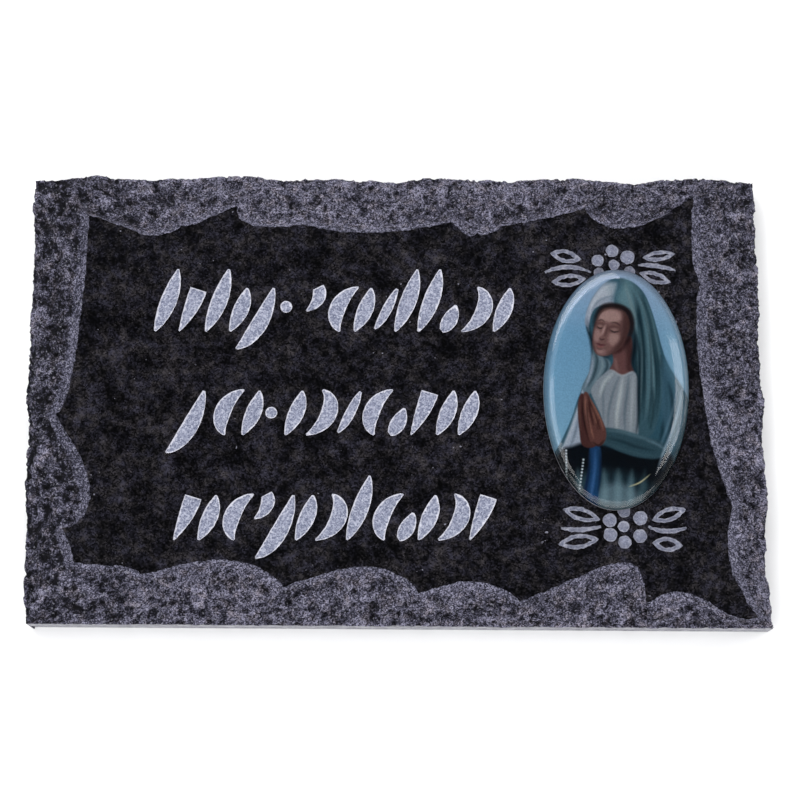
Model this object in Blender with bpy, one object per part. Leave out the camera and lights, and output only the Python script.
# Grave plaque: a pitched granite slab with sunk strokes and a clear-domed oval print
# The plaque lies on its back: +X runs to its right side, +Y to its top side, +Z out of its face

import math

import bmesh
import bpy
from mathutils import Vector, noise

MM = 0.001
COLLECTION_NAME = "grave_plaque"

# Slab
LENGTH = 252 * MM
WIDTH = 157 * MM
THICKNESS = 20 * MM
ARRIS_HEIGHT = 11 * MM
BEVEL_RUN = 3.2 * MM
BEVEL_DROP = 2.0 * MM
SLOPE_ROUGHNESS = 1.4 * MM
ARRIS_ROUGHNESS = 0.9 * MM
BREAK_SIZE = 9 * MM
SIDE_LEAN = 1.2 * MM
LOFT_SPACING = 2.9 * MM

# The border's section: the most of it that the bevel may take, where its rough slope has
# corners, and how hollow that slope is
BEVEL_LIMIT = 0.45
SLOPE_SHARES = (0.35, 0.7)
SLOPE_BEND = 1.2
BITE_FULLNESS = 0.9

# Layers of the unevenness, so that no two edges break alike
SLOPE_LAYER = 0.0
ARRIS_LAYER = 5.0
WAIST_LAYER = 9.0
HEEL_LAYER = 12.0

# Broken edges, as insets in mm at even steps along each side, clockwise
EDGE_INSETS = {
    "top": (1.9, 1.2, 0.0, 1.2, 1.4, 1.3, 0.6, 0.2, 1.3, 1.2, 1.0, 1.6, 2.3,
            0.7, 1.1, 1.5, 2.0, 1.0, 0.7, 1.8, 2.5, 1.4, 0.7, 1.5, 2.1),
    "right": (2.2, 2.1, 2.2, 1.7, 1.4, 2.2, 1.9, 1.1, 1.7, 1.5, 0.3, 1.5, 1.9, 0.9, 0.4),
    "bottom": (0.0, 2.0),
    "left": (1.9, 1.0, 1.2, 1.4, 0.5, 1.0, 1.3, 0.1, 0.7, 1.0, 1.1, 1.5, 1.9, 1.0, 1.7),
}

# Chisel bites that bound the polished field, clockwise along each side.
# Each starts at a cusp, and reads: share of the side's length, inset from the side in mm,
# depth of the bite in mm, and where along the bite it is deepest.
BITES = {
    "top": ((0.085, 17.0, 4.8, 0.67), (0.210, 20.0, 1.4, 0.25), (0.283, 13.0, 5.5, 0.22),
            (0.377, 19.9, 3.2, 0.45), (0.573, 19.0, 2.0, 0.65), (0.609, 23.0, 1.4, 0.35),
            (0.640, 20.5, 0.5, 0.50), (0.756, 14.0, 8.6, 0.38)),
    "right": ((0.062, 24.6, 2.0, 0.60), (0.261, 22.6, 2.5, 0.36), (0.599, 20.8, 0.4, 0.50),
              (0.745, 14.0, 5.2, 0.50)),
    "bottom": ((0.025, 2.7, -0.9, 0.50), (0.063, 4.0, 5.6, 0.55), (0.173, 7.5, 13.7, 0.17),
               (0.340, 8.4, 5.4, 0.42), (0.473, 11.0, 8.2, 0.37), (0.651, 13.2, 7.6, 0.37),
               (0.840, 17.2, 1.9, 0.20)),
    "left": ((0.135, 18.5, 0.6, 0.50), (0.210, 14.8, 9.9, 0.34), (0.455, 11.2, 3.5, 0.26)),
}
SIDES = ("top", "right", "bottom", "left")
SAWN_SIDE = "bottom"

# Oval print and its clear dome, placed from the slab's right side and its middle
OVAL_WIDTH = 49.0 * MM
OVAL_HEIGHT = 82.5 * MM
OVAL_FROM_SIDE = 52.2 * MM
OVAL_RISE = 1.5 * MM
OVAL_TURN = math.radians(-1.5)
PRINT_THICKNESS = 0.5 * MM
DOME_INSET = 0.2 * MM
DOME_HEIGHT = 2.6 * MM
DOME_WALL = 0.5 * MM
DOME_RIM_RUN = 5.0 * MM
GLUE_GAP = 0.3 * MM
OVAL_SIDES = 72
DOME_RINGS = 6
OVAL_X = LENGTH / 2 - OVAL_FROM_SIDE

# Sunk strokes of the inscription: the block that they fill, and their size
TEXT_FROM_SIDE = 43.5 * MM
TEXT_TO_OVAL = 10.8 * MM
FIRST_BASE_FROM_TOP = 56.5 * MM
LAST_BASE_FROM_BOTTOM = 29.5 * MM
STROKE_DEPTH = 0.8 * MM
STROKE_HEIGHT = 14.2 * MM
STROKE_WIDTH = 4.4 * MM
STROKE_SLANT = math.tan(math.radians(14))
TEXT_LEFT = TEXT_FROM_SIDE - LENGTH / 2
TEXT_RIGHT = OVAL_X - OVAL_WIDTH / 2 - TEXT_TO_OVAL

# Each kind of stroke, in shares of the stroke height: four spine points, then its widths at the
# start, middle and end as shares of the stroke width, then the room that it takes in its row
STROKE_KINDS = {
    "leaf": (((0.20, 1.02), (0.26, 0.70), (0.16, 0.30), (0.06, -0.04)), (0.15, 1.20, 0.15), 0.46),
    "wedge": (((0.26, 0.98), (0.24, 0.70), (0.16, 0.30), (0.06, -0.04)), (1.30, 1.05, 0.10), 0.56),
    "bow": (((0.16, 1.04), (0.56, 0.80), (0.58, 0.22), (0.04, -0.04)), (0.14, 1.25, 0.14), 0.70),
    "cup": (((0.60, 1.04), (0.15, 0.82), (0.11, 0.24), (0.42, -0.04)), (0.14, 1.25, 0.14), 0.66),
    "sweep": (((0.02, 0.02), (0.16, 0.22), (0.24, 0.70), (0.32, 1.00)), (0.14, 0.75, 0.20), 0.42),
    "tall": (((0.22, 1.48), (0.26, 1.00), (0.16, 0.40), (0.06, -0.04)), (0.15, 1.25, 0.15), 0.50),
    "tail": (((0.30, 1.02), (0.32, 0.40), (0.12, -0.26), (-0.22, -0.46)), (0.20, 1.25, 0.14), 0.54),
    "drop": (((0.22, 1.04), (0.36, 0.86), (0.32, 0.62), (0.08, 0.46)), (0.90, 0.95, 0.12), 0.54),
    "seed": (((0.26, 0.60), (0.26, 0.36), (0.18, 0.10), (0.06, -0.02)), (0.18, 1.15, 0.40), 0.46),
}

# Groups of strokes: the row, then where the group starts and ends in the block, as shares of
# the block's length, and its kinds
STROKE_GROUPS = (
    (0, 0.00, 0.335, "tall wedge tall leaf tail"),
    (0, 0.405, 1.00, "drop cup leaf sweep tall tall seed bow leaf"),
    (1, 0.08, 0.30, "tail cup leaf"),
    (1, 0.365, 0.90, "leaf bow sweep cup seed wedge leaf leaf"),
    (2, 0.06, 0.94, "wedge leaf cup drop tail leaf bow tall cup seed leaf bow wedge"),
)
STROKE_ROWS = 3

# Dots between groups: the row, the share of the block's length, the share of the stroke height
STROKE_DOTS = ((0, 0.372, 0.56), (1, 0.332, 0.49))
DOT_RADIUS = 2.0 * MM

# Sunk sprays above and below the oval, in mm from the oval's upper and lower end: closed leaves
# as base, tip and half height, tendrils as their two ends and their rise, berries as place
# and radius
ORNAMENT_DEPTH = 0.7 * MM
LINE_WIDTH = 1.35 * MM
LEAF_FULLNESS = 0.8
LEAF_TIP_LENGTH = 2.3 * MM
UPPER_SPRAY = {
    "leaves": (((-21.6, 6.1), (-10.9, 3.7), 2.3), ((9.8, 4.3), (21.2, 5.8), 1.9),
               ((-21.4, -4.2), (-9.4, -2.9), 2.3), ((8.6, -0.9), (19.4, -4.2), 2.1)),
    "tendrils": (((-23.4, -0.8), (-7.9, -0.7), 1.9), ((8.3, 1.8), (21.1, -0.1), 0.7)),
    "berries": ((-0.4, 6.8, 2.15), (-5.4, 3.4, 2.1), (4.8, 4.5, 2.4), (0.1, 1.9, 1.9),
                (-5.0, -1.0, 1.9), (5.4, -0.4, 1.9)),
}
LOWER_SPRAY = {
    "leaves": (((-18.6, 0.5), (-6.1, -3.1), 2.3), ((11.1, -3.3), (22.6, 0.5), 2.4),
               ((-20.4, -11.3), (-6.7, -9.6), 2.5), ((11.1, -10.9), (21.3, -11.9), 2.5)),
    "tendrils": (((-19.4, -5.9), (-5.9, -5.4), -0.8), ((9.9, -5.5), (22.8, -5.7), -1.4)),
    "berries": ((-2.9, -3.3, 2.3), (1.9, -0.3, 2.1), (7.3, -2.6, 2.4), (1.7, -5.4, 1.9),
                (-2.8, -8.2, 2.3), (2.0, -10.7, 2.2), (7.1, -8.6, 2.3)),
}

# How finely curves are divided, and how far a cutter stands out of the face that it cuts
STROKE_STEPS = 7
LEAF_STEPS = 7
BERRY_SIDES = 14
CUTTER_RISE = 2 * MM


def clear_scene():
    """Remove every object that the file starts with."""
    for item in list(bpy.data.objects):
        bpy.data.objects.remove(item, do_unlink=True)


def new_collection(name):
    """Make a collection in the scene."""
    collection = bpy.data.collections.new(name)
    bpy.context.scene.collection.children.link(collection)
    return collection


def new_material(name, colour, roughness, transmission=0.0):
    """Make a Principled material."""
    material = bpy.data.materials.new(name)
    material.use_nodes = True
    shader = material.node_tree.nodes["Principled BSDF"]
    shader.inputs["Base Color"].default_value = (*colour, 1.0)
    shader.inputs["Roughness"].default_value = roughness
    shader.inputs["Metallic"].default_value = 0.0
    shader.inputs["Transmission Weight"].default_value = transmission
    return material


def new_object(name, shape, collection, material=None):
    """Turn a bmesh into an object with outward faces."""
    bmesh.ops.recalc_face_normals(shape, faces=shape.faces)
    mesh = bpy.data.meshes.new(name)
    shape.to_mesh(mesh)
    shape.free()
    item = bpy.data.objects.new(name, mesh)
    collection.objects.link(item)
    if material:
        mesh.materials.append(material)
    return item


def side_frame(side):
    """Give a side's first corner, the way along it, the way in from it, and its length."""
    half_x = LENGTH / 2
    half_y = WIDTH / 2
    if side == "top":
        return Vector((-half_x, half_y)), Vector((1, 0)), Vector((0, -1)), LENGTH
    if side == "right":
        return Vector((half_x, half_y)), Vector((0, -1)), Vector((-1, 0)), WIDTH
    if side == "bottom":
        return Vector((half_x, -half_y)), Vector((-1, 0)), Vector((0, 1)), LENGTH
    return Vector((-half_x, -half_y)), Vector((0, 1)), Vector((1, 0)), WIDTH


def edge_inset(side, share):
    """Read an edge's inset between its stated steps: straight where sawn, else in waves."""
    insets = EDGE_INSETS[side]
    place = share * (len(insets) - 1)
    step = min(int(place), len(insets) - 2)
    blend = place - step
    if side != SAWN_SIDE:
        blend = 0.5 - 0.5 * math.cos(math.pi * blend)
    return (insets[step] * (1 - blend) + insets[step + 1] * blend) * MM


def edge_point(side, share):
    """Give a point of the slab's outer edge, which meets the sides before and after it."""
    corner, along, inward, length = side_frame(side)
    before = SIDES[SIDES.index(side) - 1]
    after = SIDES[(SIDES.index(side) + 1) % len(SIDES)]
    start = edge_inset(before, 1.0)
    end = length - edge_inset(after, 0.0)
    return corner + along * (start + (end - start) * share) + inward * edge_inset(side, share)


def cusp_point(side, index):
    """Give the place of one cusp of the field's boundary."""
    corner, along, inward, length = side_frame(side)
    share, inset = BITES[side][index][:2]
    return corner + along * (share * length) + inward * (inset * MM)


def bite_points(start, end, inward, depth, lean):
    """Give the points of one chisel bite, from its cusp up to but not including the next one."""
    steps = max(4, round((end - start).length / LOFT_SPACING))
    power = math.log(0.5) / math.log(lean)
    points = []
    for step in range(steps):
        phase = step / steps
        along = phase ** (1 / power)
        swell = math.sin(math.pi * phase) ** BITE_FULLNESS
        points.append(start.lerp(end, along) + inward * (depth * swell))
    return points


def border_loops():
    """Pair each point of the field's boundary with one of the outer edge, clockwise."""
    field = []
    edge = []
    side_names = []
    for number, side in enumerate(SIDES):
        inward = side_frame(side)[2]
        after = SIDES[(number + 1) % len(SIDES)]
        cusps = [cusp_point(side, index) for index in range(len(BITES[side]))]
        cusps.append(cusp_point(after, 0))
        points = []
        for index, (_, _, depth, lean) in enumerate(BITES[side]):
            points += bite_points(cusps[index], cusps[index + 1], inward, depth * MM, lean)
        reach = sum((b - a).length for a, b in zip(points, points[1:] + [cusps[-1]]))
        walked = 0.0
        for index, point in enumerate(points):
            edge.append(edge_point(side, walked / reach))
            side_names.append(side)
            following = points[index + 1] if index + 1 < len(points) else cusps[-1]
            walked += (following - point).length
        field += points
    return field, fit_edge(edge), side_names


def fit_edge(points):
    """Stretch the outer edge so that its extremes lie on the stated length and width."""
    fitted = []
    low_x, high_x = min(p.x for p in points), max(p.x for p in points)
    low_y, high_y = min(p.y for p in points), max(p.y for p in points)
    for point in points:
        x = (point.x - (low_x + high_x) / 2) * LENGTH / (high_x - low_x)
        y = (point.y - (low_y + high_y) / 2) * WIDTH / (high_y - low_y)
        fitted.append(Vector((x, y)))
    return fitted


def broken(x, y, level):
    """Give the uneven height of a broken surface, from -1 to 1."""
    return noise.noise(Vector((x / BREAK_SIZE, y / BREAK_SIZE, level)))


def border_profile(inner, outer, side):
    """Give the corners of the border's section, from the field's edge down to the back."""
    run = (outer - inner).length
    foot = min(BEVEL_RUN / run, BEVEL_LIMIT)
    foot_height = THICKNESS - BEVEL_DROP * foot * run / BEVEL_RUN
    rough = 0.0 if side == SAWN_SIDE else 1.0
    arris = ARRIS_HEIGHT + ARRIS_ROUGHNESS * rough * broken(outer.x, outer.y, ARRIS_LAYER)
    bevel_foot = inner.lerp(outer, foot)
    section = [(inner.x, inner.y, THICKNESS), (bevel_foot.x, bevel_foot.y, foot_height)]
    for share in SLOPE_SHARES:
        spot = bevel_foot.lerp(outer, share)
        height = foot_height + (arris - foot_height) * share ** SLOPE_BEND
        height += SLOPE_ROUGHNESS * broken(spot.x, spot.y, SLOPE_LAYER)
        section.append((spot.x, spot.y, height))
    section.append((outer.x, outer.y, arris))
    lean = side_frame(side)[2] * SIDE_LEAN * rough
    waist = outer + lean * (0.5 + 0.5 * broken(outer.x, outer.y, WAIST_LAYER))
    section.append((waist.x, waist.y, arris / 2))
    heel = outer + lean * (0.8 + 0.4 * broken(outer.x, outer.y, HEEL_LAYER))
    section.append((heel.x, heel.y, 0.0))
    return section


def make_slab(collection, material):
    """Loft the slab between the scalloped field and the broken outer edge."""
    field, edge, side_names = border_loops()
    shape = bmesh.new()
    sections = []
    for inner, outer, side in zip(field, edge, side_names):
        sections.append([shape.verts.new(p) for p in border_profile(inner, outer, side)])
    count = len(sections)
    for index in range(count):
        near = sections[index]
        far = sections[(index + 1) % count]
        for level in range(len(near) - 1):
            shape.faces.new((near[level], near[level + 1], far[level + 1], far[level]))
    shape.faces.new([section[0] for section in sections])
    shape.faces.new([section[-1] for section in sections])
    return new_object("granite_slab", shape, collection, material)


def prism(shape, outline, low, high):
    """Add an upright prism over an outline."""
    floor = [shape.verts.new((x, y, low)) for x, y in outline]
    roof = [shape.verts.new((x, y, high)) for x, y in outline]
    shape.faces.new(floor)
    shape.faces.new(roof)
    for index in range(len(outline)):
        after = (index + 1) % len(outline)
        shape.faces.new((floor[index], floor[after], roof[after], roof[index]))


def ring_prism(shape, outer, inner, low, high):
    """Add an upright ring between two outlines with the same number of points."""
    rings = []
    for outline, height in ((outer, low), (outer, high), (inner, high), (inner, low)):
        rings.append([shape.verts.new((x, y, height)) for x, y in outline])
    for level in range(4):
        near = rings[level]
        far = rings[(level + 1) % 4]
        for index in range(len(outer)):
            after = (index + 1) % len(outer)
            shape.faces.new((near[index], near[after], far[after], far[index]))


def bezier(points, share):
    """Read a Bezier curve through De Casteljau's steps."""
    while len(points) > 1:
        points = [a.lerp(b, share) for a, b in zip(points, points[1:])]
    return points[0]


def ribbon(spine, widths, steps):
    """Give the outline of a stroke along a spine, with its widths at start, middle and end."""
    left = []
    right = []
    for step in range(steps + 1):
        share = step / steps
        spot = bezier(spine, share)
        ahead = bezier(spine, min(share + 0.01, 1.0)) - bezier(spine, max(share - 0.01, 0.0))
        across = Vector((-ahead.y, ahead.x)).normalized()
        swell = 4 * share * (1 - share)
        half = 0.5 * (widths[0] * (1 - share) + widths[2] * share)
        half += 0.5 * swell * (widths[1] - 0.5 * (widths[0] + widths[2]))
        left.append(spot + across * half)
        right.append(spot - across * half)
    return left + right[::-1]


def row_base(row):
    """Give the height of a row's baseline."""
    first = WIDTH / 2 - FIRST_BASE_FROM_TOP
    last = LAST_BASE_FROM_BOTTOM - WIDTH / 2
    return first + (last - first) * row / (STROKE_ROWS - 1)


def inscription_strokes():
    """Give the outline of every stroke, group by group."""
    outlines = []
    block = TEXT_RIGHT - TEXT_LEFT
    for row, start, end, words in STROKE_GROUPS:
        kinds = [STROKE_KINDS[word] for word in words.split()]
        room = sum(kind[2] for kind in kinds) * STROKE_HEIGHT
        spare = ((end - start) * block - room) / (len(kinds) - 1)
        x = TEXT_LEFT + start * block
        base = row_base(row)
        for spine, widths, advance in kinds:
            points = []
            for u, v in spine:
                across = u + STROKE_SLANT * v
                points.append(Vector((x + across * STROKE_HEIGHT, base + v * STROKE_HEIGHT)))
            outlines.append(ribbon(points, [w * STROKE_WIDTH for w in widths], STROKE_STEPS))
            x += advance * STROKE_HEIGHT + spare
    return outlines


def circle(x, y, radius):
    """Give the outline of a round sinking."""
    outline = []
    for step in range(BERRY_SIDES):
        angle = 2 * math.pi * step / BERRY_SIDES
        outline.append((x + radius * math.cos(angle), y + radius * math.sin(angle)))
    return outline


def leaf_outline(base, tip, half_height):
    """Give a pointed leaf's outline around the line from its base to its tip."""
    along = tip - base
    across = Vector((-along.y, along.x)).normalized() * half_height
    upper = []
    lower = []
    for step in range(LEAF_STEPS + 1):
        share = step / LEAF_STEPS
        swell = math.sin(math.pi * share) ** LEAF_FULLNESS
        upper.append(base + along * share + across * swell)
        lower.append(base + along * share - across * swell)
    return upper + lower[-2:0:-1]


def make_inscription_cutter(collection):
    """Gather the prisms of all strokes and dots."""
    shape = bmesh.new()
    low = THICKNESS - STROKE_DEPTH
    high = THICKNESS + CUTTER_RISE
    for outline in inscription_strokes():
        prism(shape, outline, low, high)
    for row, share, rise in STROKE_DOTS:
        x = TEXT_LEFT + share * (TEXT_RIGHT - TEXT_LEFT)
        prism(shape, circle(x, row_base(row) + rise * STROKE_HEIGHT, DOT_RADIUS), low, high)
    return new_object("inscription_cutter", shape, collection)


def add_spray(shape, spray, end):
    """Add one spray of leaves, tendrils and berries by an end of the oval."""
    low = THICKNESS - ORNAMENT_DEPTH
    high = THICKNESS + CUTTER_RISE
    for base, tip, half_height in spray["leaves"]:
        near = end + Vector(base) * MM
        far = end + Vector(tip) * MM
        trim = (far - near).normalized() * LEAF_TIP_LENGTH
        outer = leaf_outline(near, far, half_height * MM)
        inner = leaf_outline(near + trim, far - trim, half_height * MM - LINE_WIDTH)
        ring_prism(shape, outer, inner, low, high)
    for first, last, rise in spray["tendrils"]:
        near = end + Vector(first) * MM
        far = end + Vector(last) * MM
        lift = Vector((0, rise * MM * 4 / 3))
        spine = [near, near.lerp(far, 1 / 3) + lift, near.lerp(far, 2 / 3) + lift, far]
        widths = (0.5 * LINE_WIDTH, 1.2 * LINE_WIDTH, 0.5 * LINE_WIDTH)
        prism(shape, ribbon(spine, widths, STROKE_STEPS), low, high)
    for x, y, radius in spray["berries"]:
        centre = end + Vector((x, y)) * MM
        prism(shape, circle(centre.x, centre.y, radius * MM), low, high)


def make_ornament_cutter(collection):
    """Gather the prisms of both sprays."""
    shape = bmesh.new()
    add_spray(shape, UPPER_SPRAY, Vector((OVAL_X, OVAL_RISE + OVAL_HEIGHT / 2)))
    add_spray(shape, LOWER_SPRAY, Vector((OVAL_X, OVAL_RISE - OVAL_HEIGHT / 2)))
    return new_object("ornament_cutter", shape, collection)


def cut(item, cutter):
    """Sink a cutter's shape into an object."""
    cutter.hide_render = True
    cutter.display_type = "WIRE"
    modifier = item.modifiers.new(cutter.name, "BOOLEAN")
    modifier.operation = "DIFFERENCE"
    modifier.solver = "EXACT"
    modifier.use_self = True
    modifier.object = cutter


def oval_ring(shape, inset, height):
    """Add one oval ring of vertices, drawn in from the oval's edge."""
    ring = []
    for step in range(OVAL_SIDES):
        angle = 2 * math.pi * step / OVAL_SIDES
        x = (OVAL_WIDTH / 2 - inset) * math.cos(angle)
        y = (OVAL_HEIGHT / 2 - inset) * math.sin(angle)
        ring.append(shape.verts.new((x, y, height)))
    return ring


def oval_solid(shape, levels):
    """Loft a closed solid through oval rings, each given as inset and height."""
    rings = [oval_ring(shape, inset, height) for inset, height in levels]
    for near, far in zip(rings, rings[1:]):
        for index in range(OVAL_SIDES):
            after = (index + 1) % OVAL_SIDES
            shape.faces.new((near[index], near[after], far[after], far[index]))
    shape.faces.new(rings[0])
    shape.faces.new(rings[-1])


def place_oval(item, height):
    """Lay an oval piece on the slab at its centre and turn."""
    item.location = (OVAL_X, OVAL_RISE, height)
    item.rotation_euler.z = OVAL_TURN


def make_print(collection, material):
    """Make the thin oval plate that carries the picture."""
    shape = bmesh.new()
    oval_solid(shape, ((0.0, 0.0), (0.0, PRINT_THICKNESS)))
    item = new_object("portrait_print", shape, collection, material)
    place_oval(item, THICKNESS + GLUE_GAP)
    return item


def make_dome(collection, material):
    """Make the clear cabochon: a short wall, a rounded rim and a flat top."""
    levels = [(DOME_INSET, 0.0), (DOME_INSET, DOME_WALL)]
    for ring in range(1, DOME_RINGS + 1):
        angle = math.pi / 2 * ring / DOME_RINGS
        inset = DOME_INSET + DOME_RIM_RUN * (1 - math.cos(angle))
        levels.append((inset, DOME_WALL + (DOME_HEIGHT - DOME_WALL) * math.sin(angle)))
    shape = bmesh.new()
    oval_solid(shape, levels)
    item = new_object("resin_dome", shape, collection, material)
    item.data.shade_smooth()
    item.data.set_sharp_from_angle(angle=math.radians(50))
    place_oval(item, THICKNESS + GLUE_GAP + PRINT_THICKNESS + GLUE_GAP)
    return item


def main():
    """Build the slab, the print and the dome."""
    clear_scene()
    parts = new_collection(COLLECTION_NAME)
    cutters = new_collection("cutters")
    slab = make_slab(parts, new_material("granite", (0.035, 0.034, 0.042), 0.35))
    cut(slab, make_inscription_cutter(cutters))
    cut(slab, make_ornament_cutter(cutters))
    make_print(parts, new_material("printed_plate", (0.13, 0.28, 0.38), 0.5))
    make_dome(parts, new_material("clear_resin", (0.9, 0.96, 1.0), 0.05, transmission=1.0))


main()
